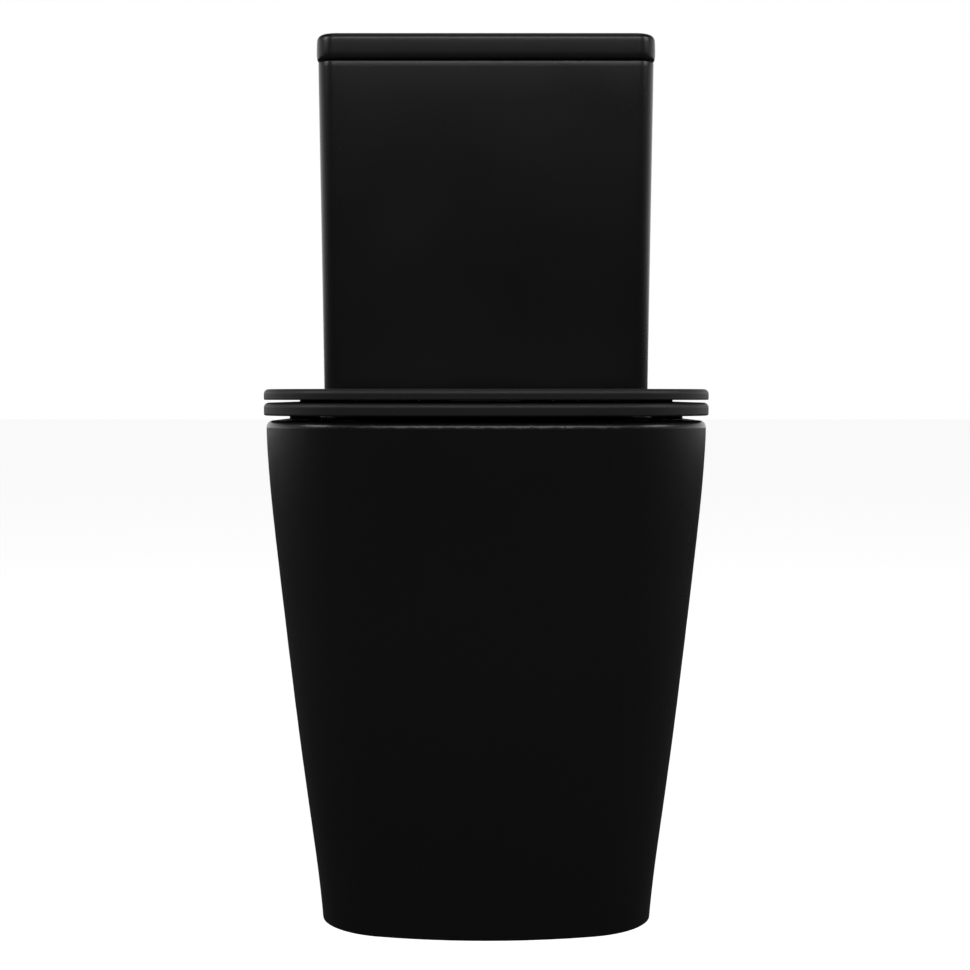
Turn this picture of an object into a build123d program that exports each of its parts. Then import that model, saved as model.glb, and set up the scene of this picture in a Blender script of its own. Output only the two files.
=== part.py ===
"""Close coupled toilet: a rimless back-to-wall pan, a cistern bolted on its deck, and a slim seat and lid.

Millimetres. +Z is up, the front faces -Y, and the origin is on the floor under the middle of the whole.
"""

import os

from build123d import *

# ---------------------------------------------------------------- overall sizes
overall_depth = 630  # from the front of the seat to the wall
front = -overall_depth / 2
wall = overall_depth / 2  # the plane of the wall behind
contact = 0.3  # clearance where two pieces lie against each other but move
slip = 0.05  # radial clearance of a turning fit

# pan
rim_height = 405.5
rim_half_width = 178.3
foot_half_width = 133.8
rim_inset = 4  # the rim stands this far inside the seat's front
foot_setback = 27  # the foot's front, behind the rim's front
skirt_taper = [(0, 1.0), (0.22, 0.757), (0.45, 0.485), (0.67, 0.254), (0.87, 0.063), (1, 0.0)]  # height, lean
pan_wall = 12
deck_thickness = 16
rim_corner = 95
foot_corner = 66
rim_bow = 390  # radius of the front, seen from above
foot_bow = 330
rim_round = 5.5
rim_width = 39  # from the outside of the rim to the basin
basin_wall = 9
basin_back = wall - 257

# seat and lid
seat_half_width = 180
seat_gap = 4  # rim to seat
seat_thickness = 10.4
lid_gap = 2.2  # seat to lid
lid_thickness = 8.6
seat_corner = 97
seat_bow = 395
seat_back_corner = 34
hinge_y = wall - 215
hinge_x = 77.5  # half of the 155 mm between the two fixing holes
seat_rear = hinge_y - 14  # rear edge of seat and lid, in front of the hinge knuckles
seat_bottom = rim_height + seat_gap
seat_top = seat_bottom + seat_thickness
lid_bottom = seat_top + lid_gap
hinge_z = seat_top

# cistern
cistern_lift = 6  # rubber between the deck and the cistern
cistern_bottom = rim_height + cistern_lift
cistern_top = 761.5
cistern_half_width_bottom = 164.5
cistern_half_width_top = 169.3
cistern_front = wall - 163
cistern_front_lean = 3  # the foot of the front wall stands back by this much
cistern_back_gap = 3
cistern_wall = 9
cistern_floor = 12
cistern_corner = 18
cover_overhang = 1.5
cover_height = 26.5
cover_slab = 9
cover_corner = 20
cover_round = 8
cover_top = cistern_top + cover_height

# waterways
valve_y = wall - 83  # flush valve, push button and cistern bolts stand on this line
spigot_radius = 29
spigot_bore = 25
inlet_counterbore = 52
inlet_counterbore_depth = 8
inlet_hole = 36
trap_bore = 36
trap_wall = 9
outlet_radius = 51
outlet_height = 185
outlet_end = wall - 10
outlet_length = 45
fill_x = -106
fill_y = wall - 77
tail_radius = 10.48  # G 1/2 thread, below the nut
shank_radius = 10.4
tail_length = 25
tail_groove = 2.5  # thread relief below the nut
tail_groove_radius = 9

# linkage between the push button and the flush valve
rod_x = 23
pivot_x = 7
pivot_z = cistern_top - 111.5
toe_x = 6
rocker_y = 18
rocker_width = 8
pin_radius = 1.5

# fasteners
cistern_bolt_x = 68
bolt_radius = 4
stud_radius = 3
fixing_y = wall - 145
fixing_z = 42
bracket_hole_radius = 4.5
bracket_thickness = 4
bracket_x = 104

deck_underside = rim_height - deck_thickness
cistern_back = wall - cistern_back_gap
floor_inside = cistern_bottom + cistern_floor


def rounded_front(half_width, nose, back, corner, bow, back_corner):
    """Seen from above: straight sides and back, a slightly bowed front and round corners."""
    length = back - nose
    with Locations((0, nose + length / 2)):
        Rectangle(2 * half_width, length)
    with Locations((0, nose + bow)):
        Circle(bow, mode=Mode.INTERSECT)
    corners = vertices().sort_by(Axis.Y)
    fillet(corners[:2], corner)
    if back_corner:
        fillet(vertices().group_by(Axis.Y)[-1], back_corner)


def pan_lean(height):
    """How far the skirt has drawn in at a height: 0 at the rim and 1 at the floor."""
    share = height / rim_height
    for (low, lean_low), (high, lean_high) in zip(skirt_taper, skirt_taper[1:]):
        if share <= high:
            return lean_low + (lean_high - lean_low) * (share - low) / (high - low)
    return 0.0


def pan_outline(height, inset=0.0, back=wall):
    """The pan's plan at a height, or the same plan inset all round but for the back."""
    lean = pan_lean(height)
    half_width = rim_half_width - (rim_half_width - foot_half_width) * lean
    nose = front + rim_inset + foot_setback * lean
    corner = rim_corner - (rim_corner - foot_corner) * lean
    bow = rim_bow - (rim_bow - foot_bow) * lean
    rounded_front(half_width - inset, nose + inset, back, corner - inset, bow - inset, 0)


os.makedirs("parts", exist_ok=True)

# ---------------------------------------------------------------- pan
# The basin narrows from the rim to a sump, where the trap starts.
basin_half_width = rim_half_width - rim_width
basin_nose = front + rim_inset + rim_width
sump_y = wall - 335
sump_top = 118
basin_depth = rim_height - sump_top
basin_steps = [
    # height, half width, nose, back, front corner, back corner
    (rim_height, basin_half_width, basin_nose, basin_back, 84, 62),
    (sump_top + 0.737 * basin_depth, basin_half_width - 5, basin_nose + 5, basin_back - 4, 84, 62),
    (sump_top + 0.459 * basin_depth, basin_half_width - 30, basin_nose + 44, basin_back - 14, 76, 62),
    (sump_top + 0.216 * basin_depth, 68, sump_y - 96, sump_y + 52, 56, 48),
    (sump_top, trap_bore + 1, sump_y - trap_bore - 1, sump_y + trap_bore + 1, 33, 33),
]
trap_low = 66
trap_points = [
    (sump_y, sump_top + 8),
    (sump_y, trap_low),
    (sump_y + 82, trap_low),
    (sump_y + 138, 212),
    (outlet_end - 60, outlet_height),
    (outlet_end, outlet_height),
]
trap_bends = [46, 46, 50, 110]
skirt_heights = [share * rim_height for share, lean in skirt_taper]
duct_half_width = 32
duct_bottom = deck_underside - 42
duct_wall = 9
duct_back = valve_y + inlet_hole + 4
notch_half_width = 24
outlet_bore = 43
side_recess_x = foot_half_width + 3.4
side_recess_radius = 10.5

with BuildPart() as bowl:
    # outside of the skirt
    for height in skirt_heights:
        with BuildSketch(Plane.XY.offset(height)):
            pan_outline(height)
    loft()
    top_edges = bowl.faces().sort_by(Axis.Z)[-1].edges()
    fillet([e for e in top_edges if e.center().Y < wall - 1], rim_round)
    # the hollow under the deck, open at the floor and at the wall
    for height in skirt_heights[:-1] + [deck_underside]:
        with BuildSketch(Plane.XY.offset(height)):
            pan_outline(height, inset=pan_wall, back=wall + pan_wall)
    loft(mode=Mode.SUBTRACT)
    # basin, trap and flushing duct, first solid and then hollow
    for height, half_width, nose, back, corner, back_corner in basin_steps:
        grow = basin_wall
        drop = 0 if height == rim_height else grow * (1 - height / rim_height)
        with BuildSketch(Plane.XY.offset(height - drop)):
            rounded_front(
                half_width + grow, nose - grow, back + grow, corner + grow, rim_bow, back_corner + grow
            )
    loft()
    with BuildSketch(Plane.XY.offset(sump_top + 8)) as trap_mouth:
        with Locations((0, sump_y)):
            Circle(trap_bore + trap_wall)
    with BuildLine(Plane.YZ) as trap_path:
        FilletPolyline(*trap_points, radius=trap_bends)
    sweep(sections=trap_mouth.sketch, path=trap_path.wires()[0])
    with BuildSketch(Plane.XZ.offset(-outlet_end)):
        with Locations((0, outlet_height)):
            Circle(outlet_radius)
    extrude(amount=outlet_length)
    with BuildSketch(Plane.XY.offset(duct_bottom - duct_wall)):
        with Locations((0, (basin_back + duct_back) / 2)):
            Rectangle(2 * (duct_half_width + duct_wall), duct_back - basin_back + 2 * duct_wall)
    extrude(amount=deck_underside - duct_bottom + duct_wall)
    for height, half_width, nose, back, corner, back_corner in basin_steps:
        with BuildSketch(Plane.XY.offset(height)):
            rounded_front(half_width, nose, back, corner, rim_bow, back_corner)
    loft(mode=Mode.SUBTRACT)
    with BuildSketch(Plane.XY.offset(sump_top + 8)) as trap_hole:
        with Locations((0, sump_y)):
            Circle(trap_bore)
    sweep(sections=trap_hole.sketch, path=trap_path.wires()[0], mode=Mode.SUBTRACT)
    with BuildSketch(Plane.XZ.offset(-outlet_end)):
        with Locations((0, outlet_height)):
            Circle(outlet_bore)
    extrude(amount=outlet_length - 15, mode=Mode.SUBTRACT)
    with BuildSketch(Plane.XY.offset(duct_bottom)):
        with Locations((0, (basin_back + duct_back) / 2 - 10)):
            Rectangle(2 * duct_half_width, duct_back - basin_back + 20)
    extrude(amount=deck_underside - duct_bottom, mode=Mode.SUBTRACT)
    # holes in the deck: flush inlet, cistern bolts, seat hinges, and slots for the water tail
    with BuildSketch(Plane.XY.offset(rim_height)):
        with Locations((0, valve_y)):
            Circle(inlet_counterbore)
    extrude(amount=-inlet_counterbore_depth, mode=Mode.SUBTRACT)
    with BuildSketch(Plane.XY.offset(rim_height)):
        with Locations((0, valve_y)):
            Circle(inlet_hole)
        with Locations((-cistern_bolt_x, valve_y), (cistern_bolt_x, valve_y)):
            Circle(bolt_radius + 2)
        with Locations((-hinge_x, hinge_y), (hinge_x, hinge_y)):
            Circle(7)
        for side in (-1, 1):
            with Locations((side * abs(fill_x), (fill_y + wall) / 2)):
                SlotCenterToCenter(wall - fill_y, 2 * notch_half_width, rotation=90)
    extrude(amount=-deck_thickness - 1, mode=Mode.SUBTRACT)
    # holes low in the sides for the floor fixings
    with BuildSketch(Plane.YZ.offset(-rim_half_width)):
        with Locations((fixing_y, fixing_z)):
            Circle(5)
    extrude(amount=2 * rim_half_width, mode=Mode.SUBTRACT)
    for side in (-1, 1):
        with BuildSketch(Plane.YZ.offset(side * side_recess_x)):
            with Locations((fixing_y, fixing_z)):
                Circle(side_recess_radius)
        extrude(amount=side * 20, mode=Mode.SUBTRACT)
bowl.part.label = "bowl"
export_step(bowl.part, "parts/bowl.step")

# ---------------------------------------------------------------- cistern
def cistern_plan(share, inset=0.0):
    """The cistern's plan, from its bottom at share 0 to its top at 1."""
    half_width = cistern_half_width_bottom + share * (cistern_half_width_top - cistern_half_width_bottom)
    near = cistern_front + (1 - share) * cistern_front_lean + inset
    far = cistern_back - inset
    with Locations((0, (near + far) / 2)):
        RectangleRounded(2 * (half_width - inset), far - near, cistern_corner - inset)


def cistern_share(height):
    return (height - cistern_bottom) / (cistern_top - cistern_bottom)


with BuildPart() as tank:
    for height in (cistern_bottom, cistern_top):
        with BuildSketch(Plane.XY.offset(height)):
            cistern_plan(cistern_share(height))
    loft()
    fillet(tank.faces().sort_by(Axis.Z)[-1].edges(), 3)
    fillet(tank.faces().sort_by(Axis.Z)[0].edges(), 8)
    for height in (floor_inside, cistern_top):
        with BuildSketch(Plane.XY.offset(height)):
            cistern_plan(cistern_share(height), inset=cistern_wall)
    loft(mode=Mode.SUBTRACT)
    with BuildSketch(Plane.XY.offset(floor_inside)):
        with Locations((0, valve_y)):
            Circle(spigot_radius + 1)
        with Locations((-cistern_bolt_x, valve_y), (cistern_bolt_x, valve_y)):
            Circle(bolt_radius + 3)
        with Locations((fill_x, fill_y)):
            Circle(tail_radius + 1.5)
    extrude(amount=-cistern_floor, mode=Mode.SUBTRACT)
tank.part.label = "tank"
export_step(tank.part, "parts/tank.step")

# The cover rests on the cistern's edge, and a lip inside keeps it in place.
cover_half_width = cistern_half_width_top + cover_overhang
cover_front = cistern_front - cover_overhang
cover_middle = (cover_front + wall) / 2
cover_lip_gap = 2
cover_lip_depth = 7
cover_lip_wall = 6
button_hole = 31

with BuildPart() as tank_lid:
    with BuildSketch(Plane.XY.offset(cistern_top)):
        with Locations((0, cover_middle)):
            RectangleRounded(2 * cover_half_width, wall - cover_front, cover_corner)
    extrude(amount=cover_height)
    fillet(tank_lid.faces().sort_by(Axis.Z)[-1].edges(), cover_round)
    fillet(tank_lid.faces().sort_by(Axis.Z)[0].edges(), 2)
    with BuildSketch(Plane.XY.offset(cistern_top)):
        cistern_plan(1, inset=cistern_wall + cover_lip_gap)
    extrude(amount=-cover_lip_depth)
    with BuildSketch(Plane.XY.offset(cistern_top - cover_lip_depth)):
        cistern_plan(1, inset=cistern_wall + cover_lip_gap + cover_lip_wall)
    extrude(amount=cover_lip_depth + cover_height - cover_slab, mode=Mode.SUBTRACT)
    with BuildSketch(Plane.XY.offset(cover_top)):
        with Locations((0, valve_y)):
            Circle(button_hole)
    extrude(amount=-cover_height, mode=Mode.SUBTRACT)
tank_lid.part.label = "tank_lid"
export_step(tank_lid.part, "parts/tank_lid.step")

# ---------------------------------------------------------------- cistern fixings
gasket_wall = 8
nut_radius = 41
nut_height = 9

with BuildPart() as tank_gasket:
    with BuildSketch(Plane.XY.offset(rim_height - inlet_counterbore_depth)):
        with Locations((0, valve_y)):
            Circle(inlet_counterbore - 1)
            Circle(inlet_counterbore - 1 - gasket_wall, mode=Mode.SUBTRACT)
    extrude(amount=inlet_counterbore_depth + cistern_lift)
tank_gasket.part.label = "tank_gasket"
export_step(tank_gasket.part, "parts/tank_gasket.step")

bolt_line = [(-cistern_bolt_x, valve_y), (cistern_bolt_x, valve_y)]
bolt_seal_height = 7
bolt_head_height = 5
bolt_washer = 2
rubber_washer = 3
wing_nut_height = 12
washer_top = deck_underside - rubber_washer

with BuildPart() as tank_spacers:
    with BuildSketch(Plane.XY.offset(rim_height)):
        with Locations(*bolt_line):
            Circle(15)
            Circle(bolt_radius + 1, mode=Mode.SUBTRACT)
    extrude(amount=cistern_lift)
tank_spacers.part.label = "tank_spacers"
export_step(tank_spacers.part, "parts/tank_spacers.step")

with BuildPart() as tank_bolt_seals:
    with BuildSketch(Plane.XY.offset(floor_inside)):
        with Locations(*bolt_line):
            Circle(14)
    extrude(amount=bolt_seal_height)
    chamfer(tank_bolt_seals.edges().group_by(Axis.Z)[-1], 4)
    with BuildSketch(Plane.XY.offset(floor_inside)):
        with Locations(*bolt_line):
            Circle(bolt_radius)
    extrude(amount=bolt_seal_height, mode=Mode.SUBTRACT)
tank_bolt_seals.part.label = "tank_bolt_seals"
export_step(tank_bolt_seals.part, "parts/tank_bolt_seals.step")

bolt_head_bottom = floor_inside + bolt_seal_height
bolt_end = washer_top - bolt_washer - wing_nut_height - 6

with BuildPart() as tank_bolts:
    with BuildSketch(Plane.XY.offset(bolt_head_bottom)):
        with Locations(*bolt_line):
            Circle(9)
    extrude(amount=bolt_head_height)
    fillet(tank_bolts.edges().group_by(Axis.Z)[-1], 2)
    with BuildSketch(Plane.XY.offset(bolt_end)):
        with Locations(*bolt_line):
            Circle(bolt_radius)
    extrude(amount=bolt_head_bottom - bolt_end)
    with BuildSketch(Plane.XY.offset(bolt_head_bottom + bolt_head_height)):
        with Locations(*bolt_line):
            Rectangle(14, 1.8)
    extrude(amount=-2, mode=Mode.SUBTRACT)
tank_bolts.part.label = "tank_bolts"
export_step(tank_bolts.part, "parts/tank_bolts.step")

with BuildPart() as tank_bolt_rubbers:
    with BuildSketch(Plane.XY.offset(washer_top)):
        with Locations(*bolt_line):
            Circle(13)
            Circle(bolt_radius + slip, mode=Mode.SUBTRACT)
    extrude(amount=rubber_washer)
tank_bolt_rubbers.part.label = "tank_bolt_rubbers"
export_step(tank_bolt_rubbers.part, "parts/tank_bolt_rubbers.step")

with BuildPart() as tank_bolt_washers:
    with BuildSketch(Plane.XY.offset(washer_top - bolt_washer)):
        with Locations(*bolt_line):
            Circle(11)
            Circle(bolt_radius + slip, mode=Mode.SUBTRACT)
    extrude(amount=bolt_washer)
tank_bolt_washers.part.label = "tank_bolt_washers"
export_step(tank_bolt_washers.part, "parts/tank_bolt_washers.step")


def wing_nut_sketch(places, hub, bore, span, wing):
    with Locations(*places):
        Circle(hub)
        SlotOverall(span, wing)
        Circle(bore, mode=Mode.SUBTRACT)


with BuildPart() as tank_wing_nuts:
    with BuildSketch(Plane.XY.offset(washer_top - bolt_washer - wing_nut_height)):
        wing_nut_sketch(bolt_line, 9, bolt_radius + slip, 34, 5)
    extrude(amount=wing_nut_height)
tank_wing_nuts.part.label = "tank_wing_nuts"
export_step(tank_wing_nuts.part, "parts/tank_wing_nuts.step")

# ---------------------------------------------------------------- flush valve
flange_radius = 40
seal_thickness = 3
flange_top = floor_inside + seal_thickness + 6
cage_top = flange_top + 62
cage_ring = 5
cage_radius = 34
cage_leg = 3
head_bottom = pivot_z + 22
head_thickness = 8
column_y = 28
column_thickness = 4
column_width = 24
tube_radius = 13
tube_bore = 11
tube_top = pivot_z + 12
tube_foot = flange_top + contact + seal_thickness
guide_gap = 0.6

with BuildPart() as flush_valve_seal:
    with BuildSketch(Plane.XY.offset(floor_inside)):
        with Locations((0, valve_y)):
            Circle(flange_radius)
            Circle(spigot_radius + slip, mode=Mode.SUBTRACT)
    extrude(amount=seal_thickness)
flush_valve_seal.part.label = "flush_valve_seal"
export_step(flush_valve_seal.part, "parts/flush_valve_seal.step")

# A threaded spigot and flange, a cage of legs, and two columns that carry the head.
with BuildPart() as flush_valve_body:
    with BuildSketch(Plane.XY.offset(deck_underside)):
        with Locations((0, valve_y)):
            Circle(spigot_radius)
    extrude(amount=flange_top - deck_underside)
    with BuildSketch(Plane.XY.offset(floor_inside + seal_thickness)):
        with Locations((0, valve_y)):
            Circle(flange_radius)
    extrude(amount=flange_top - floor_inside - seal_thickness)
    with BuildSketch(Plane.XY.offset(deck_underside)):
        with Locations((0, valve_y)):
            Circle(spigot_bore)
            Rectangle(2 * spigot_bore + 2, 3, mode=Mode.SUBTRACT)
            Rectangle(3, 2 * spigot_bore + 2, mode=Mode.SUBTRACT)
    extrude(amount=flange_top - deck_underside, mode=Mode.SUBTRACT)
    with BuildSketch(Plane.XY.offset(flange_top)):
        with Locations((0, valve_y)):
            with PolarLocations(cage_radius, 6, start_angle=30):
                Circle(cage_leg)
    extrude(amount=cage_top - flange_top)
    with BuildSketch(Plane.XY.offset(cage_top)):
        with Locations((0, valve_y)):
            Circle(cage_radius + cage_leg + 1.5)
            Circle(tube_radius + guide_gap, mode=Mode.SUBTRACT)
            with PolarLocations(24, 6):
                Circle(4, mode=Mode.SUBTRACT)
    extrude(amount=cage_ring)
    with BuildSketch(Plane.XY.offset(cage_top + cage_ring)):
        with Locations((0, valve_y - column_y), (0, valve_y + column_y)):
            Rectangle(column_width, column_thickness)
    extrude(amount=head_bottom - cage_top - cage_ring)
    # holes for the rockers' pins
    with BuildSketch(Plane.XZ.offset(-valve_y)):
        with Locations((pivot_x, pivot_z)):
            Circle(pin_radius + slip)
    extrude(amount=column_y + column_thickness, mode=Mode.SUBTRACT)
    with BuildSketch(Plane.XZ.offset(-valve_y)):
        with Locations((-pivot_x, pivot_z)):
            Circle(pin_radius + slip)
    extrude(amount=-column_y - column_thickness, mode=Mode.SUBTRACT)
flush_valve_body.part.label = "flush_valve_body"
export_step(flush_valve_body.part, "parts/flush_valve_body.step")

with BuildPart() as flush_valve_nut:
    with BuildSketch(Plane.XY.offset(cistern_bottom - nut_height)):
        with Locations((0, valve_y)):
            RegularPolygon(nut_radius, 8)
            Circle(spigot_radius + slip, mode=Mode.SUBTRACT)
    extrude(amount=nut_height)
flush_valve_nut.part.label = "flush_valve_nut"
export_step(flush_valve_nut.part, "parts/flush_valve_nut.step")

with BuildPart() as valve_head:
    with BuildSketch(Plane.XY.offset(head_bottom)):
        with Locations((0, valve_y)):
            RectangleRounded(36, 2 * column_y + column_thickness + 4, 8)
            Circle(tube_radius + 2, mode=Mode.SUBTRACT)
    extrude(amount=head_thickness)
valve_head.part.label = "valve_head"
export_step(valve_head.part, "parts/valve_head.step")

# The overflow tube lifts with its seal. A tongue in front of it rides on the full rocker's toe.
tongue_gap = 2.3
with BuildPart() as overflow_tube:
    with BuildSketch(Plane.XY.offset(tube_foot)):
        with Locations((0, valve_y)):
            Circle(tube_radius)
    extrude(amount=tube_top - tube_foot)
    with BuildSketch(Plane.XY.offset(tube_foot)):
        with Locations((0, valve_y)):
            Circle(spigot_bore + 2)
    extrude(amount=3)
    with BuildSketch(Plane.XY.offset(pivot_z + tongue_gap)):
        with Locations((-5, valve_y - 11)):
            Rectangle(14, 22)
    extrude(amount=3)
    with BuildSketch(Plane.XY.offset(tube_foot)):
        with Locations((0, valve_y)):
            Circle(tube_bore)
    extrude(amount=tube_top - tube_foot, mode=Mode.SUBTRACT)
overflow_tube.part.label = "overflow_tube"
export_step(overflow_tube.part, "parts/overflow_tube.step")

with BuildPart() as flush_seal:
    with BuildSketch(Plane.XY.offset(flange_top + contact)):
        with Locations((0, valve_y)):
            Circle(spigot_radius + 1)
            Circle(tube_bore, mode=Mode.SUBTRACT)
    extrude(amount=seal_thickness)
flush_seal.part.label = "flush_seal"
export_step(flush_seal.part, "parts/flush_seal.step")

# The half flush float slides on the tube. Its stem ends in a hook over the half rocker's toe.
float_bottom = pivot_z - 95
float_height = 44
stem_y = 24
with BuildPart() as half_flush_float:
    with BuildSketch(Plane.XY.offset(float_bottom)):
        with Locations((0, valve_y)):
            Circle(22)
    extrude(amount=float_height)
    with BuildSketch(Plane.XY.offset(float_bottom + float_height - 12)):
        with Locations((5, valve_y + 20)):
            Rectangle(14, 11)
    extrude(amount=12)
    with BuildSketch(Plane.XY.offset(float_bottom + float_height - 12)):
        with Locations((5, valve_y + stem_y)):
            Rectangle(14, 3)
    extrude(amount=pivot_z + tongue_gap + 3 - float_bottom - float_height + 12)
    with BuildSketch(Plane.XY.offset(pivot_z + tongue_gap)):
        with Locations((5, valve_y + 20)):
            Rectangle(14, 11)
    extrude(amount=3)
    with BuildSketch(Plane.XY.offset(float_bottom)):
        with Locations((0, valve_y)):
            Circle(tube_radius + slip)
    extrude(amount=float_height, mode=Mode.SUBTRACT)
half_flush_float.part.label = "half_flush_float"
export_step(half_flush_float.part, "parts/half_flush_float.step")

# Two rockers. A push rod presses each one's pad, and its toe lifts what lies over it.
with BuildPart() as full_rocker:
    with BuildSketch(Plane.XZ.offset(-valve_y + rocker_y - rocker_width / 2)):
        with Locations(((rod_x - toe_x) / 2 + 1, pivot_z)):
            SlotOverall(rod_x + toe_x + 6, 4)
        with Locations((pivot_x, pivot_z)):
            Circle(3.6)
            Circle(pin_radius + slip, mode=Mode.SUBTRACT)
    extrude(amount=rocker_width)
    with BuildSketch(Plane.XY.offset(pivot_z - 2)):
        with Locations((rod_x, valve_y - 9.25)):
            Rectangle(6, 25.5)
    extrude(amount=4)
full_rocker.part.label = "full_rocker"
export_step(full_rocker.part, "parts/full_rocker.step")

with BuildPart() as half_rocker:
    with BuildSketch(Plane.XZ.offset(-valve_y - rocker_y - rocker_width / 2)):
        with Locations((-(rod_x - toe_x) / 2 - 1, pivot_z)):
            SlotOverall(rod_x + toe_x + 6, 4)
        with Locations((-pivot_x, pivot_z)):
            Circle(3.6)
            Circle(pin_radius + slip, mode=Mode.SUBTRACT)
    extrude(amount=rocker_width)
    with BuildSketch(Plane.XY.offset(pivot_z - 2)):
        with Locations((-rod_x, valve_y + 9.25)):
            Rectangle(6, 25.5)
    extrude(amount=4)
half_rocker.part.label = "half_rocker"
export_step(half_rocker.part, "parts/half_rocker.step")

with BuildPart() as rocker_pins:
    with BuildSketch(Plane.XZ.offset(-valve_y + 14.2)):
        with Locations((pivot_x, pivot_z)):
            Circle(pin_radius)
    extrude(amount=column_y + column_thickness / 2 - 14.2)
    with BuildSketch(Plane.XZ.offset(-valve_y - 14.2)):
        with Locations((-pivot_x, pivot_z)):
            Circle(pin_radius)
    extrude(amount=-(column_y + column_thickness / 2 - 14.2))
rocker_pins.part.label = "rocker_pins"
export_step(rocker_pins.part, "parts/rocker_pins.step")

# ---------------------------------------------------------------- push button
housing_radius = button_hole - 0.5
button_radius = 27
button_gap = 0.5
bezel_radius = 36
bezel_height = 3
button_top = cover_top + bezel_height - 0.4
button_thickness = 10
button_bottom = button_top - button_thickness
pocket_floor = cover_top - 17
housing_bottom = pocket_floor - 3
button_nut_height = 7
button_split_x = -8
rod_radius = 2.5
spring_radius = 3.6
spring_wire = 0.5
rod_line = [(-rod_x, valve_y), (rod_x, valve_y)]

with BuildPart() as button_housing:
    with BuildSketch(Plane.XY.offset(housing_bottom)):
        with Locations((0, valve_y)):
            Circle(housing_radius)
    extrude(amount=cover_top - housing_bottom)
    with BuildSketch(Plane.XY.offset(pocket_floor)):
        with Locations((0, valve_y)):
            Circle(button_radius + button_gap)
    extrude(amount=cover_top - pocket_floor, mode=Mode.SUBTRACT)
    with BuildSketch(Plane.XY.offset(housing_bottom)):
        with Locations(*rod_line):
            Circle(rod_radius + 0.6)
    extrude(amount=pocket_floor - housing_bottom, mode=Mode.SUBTRACT)
button_housing.part.label = "button_housing"
export_step(button_housing.part, "parts/button_housing.step")

with BuildPart() as button_bezel:
    with BuildSketch(Plane.XY.offset(cover_top)):
        with Locations((0, valve_y)):
            Circle(bezel_radius)
    extrude(amount=bezel_height)
    fillet(button_bezel.edges().group_by(Axis.Z)[-1], 1.5)
    with BuildSketch(Plane.XY.offset(cover_top)):
        with Locations((0, valve_y)):
            Circle(button_radius + button_gap)
    extrude(amount=bezel_height, mode=Mode.SUBTRACT)
button_bezel.part.label = "button_bezel"
export_step(button_bezel.part, "parts/button_bezel.step")

with BuildPart() as button_nut:
    with BuildSketch(Plane.XY.offset(cover_top - cover_slab - button_nut_height)):
        with Locations((0, valve_y)):
            RegularPolygon(housing_radius + 9, 6)
            Circle(housing_radius + slip, mode=Mode.SUBTRACT)
    extrude(amount=button_nut_height)
button_nut.part.label = "button_nut"
export_step(button_nut.part, "parts/button_nut.step")

with BuildPart() as full_flush_button:
    with BuildSketch(Plane.XY.offset(button_bottom)):
        with Locations((0, valve_y)):
            Circle(button_radius)
        with Locations((button_split_x + button_gap + 50, valve_y)):
            Rectangle(100, 100, mode=Mode.INTERSECT)
    extrude(amount=button_thickness)
    fillet(full_flush_button.edges().group_by(Axis.Z)[-1], 1)
full_flush_button.part.label = "full_flush_button"
export_step(full_flush_button.part, "parts/full_flush_button.step")

with BuildPart() as half_flush_button:
    with BuildSketch(Plane.XY.offset(button_bottom)):
        with Locations((0, valve_y)):
            Circle(button_radius)
        with Locations((button_split_x - button_gap - 50, valve_y)):
            Rectangle(100, 100, mode=Mode.INTERSECT)
    extrude(amount=button_thickness)
    fillet(half_flush_button.edges().group_by(Axis.Z)[-1], 1)
half_flush_button.part.label = "half_flush_button"
export_step(half_flush_button.part, "parts/half_flush_button.step")

# Each rod screws into its button and ends in a dome just above its rocker's pad.
rod_dome = pivot_z + 2 + contact + rod_radius
with BuildPart() as full_push_rod:
    with BuildSketch(Plane.XY.offset(rod_dome - rod_radius)):
        with Locations((rod_x, valve_y)):
            Circle(rod_radius)
    extrude(amount=button_bottom - rod_dome + rod_radius)
    fillet(full_push_rod.edges().group_by(Axis.Z)[0], rod_radius - 0.1)
full_push_rod.part.label = "full_push_rod"
export_step(full_push_rod.part, "parts/full_push_rod.step")

with BuildPart() as half_push_rod:
    with BuildSketch(Plane.XY.offset(rod_dome - rod_radius)):
        with Locations((-rod_x, valve_y)):
            Circle(rod_radius)
    extrude(amount=button_bottom - rod_dome + rod_radius)
    fillet(half_push_rod.edges().group_by(Axis.Z)[0], rod_radius - 0.1)
half_push_rod.part.label = "half_push_rod"
export_step(half_push_rod.part, "parts/half_push_rod.step")

spring_length = button_bottom - pocket_floor - 2 * spring_wire - 0.2
for side, name in ((1, "full_button_spring"), (-1, "half_button_spring")):
    with BuildPart() as button_spring:
        with BuildLine() as coil:
            Helix(
                pitch=spring_length / 4,
                height=spring_length,
                radius=spring_radius,
                center=(side * rod_x, valve_y, pocket_floor + spring_wire + 0.1),
            )
        with BuildSketch(Plane(coil.line @ 0, z_dir=coil.line % 0)):
            Circle(spring_wire)
        sweep(path=coil.line)
    button_spring.part.label = name
    export_step(button_spring.part, f"parts/{name}.step")

# ---------------------------------------------------------------- fill valve
tail_line = [(fill_x, fill_y)]
fill_washer = 2.5
fill_nut_height = 9
thread_top = cistern_bottom - fill_nut_height - tail_groove
tail_end = thread_top - tail_length
riser_radius = 9
riser_top = pivot_z - 10
head_radius = 15
cap_bottom = pivot_z
cap_top = cap_bottom + 8
arm_length = 44
arm_tilt = 10.3  # degrees below the horizontal while the cistern is empty
arm_pivot_x = fill_x - 14
arm_pivot_z = cap_top + 10
arm_half = 2
link_ball = 3
link_x = arm_pivot_x + 43.3
link_z = arm_pivot_z - 13.26
cup_bottom = cap_bottom - 75
cup_height = 45

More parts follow.
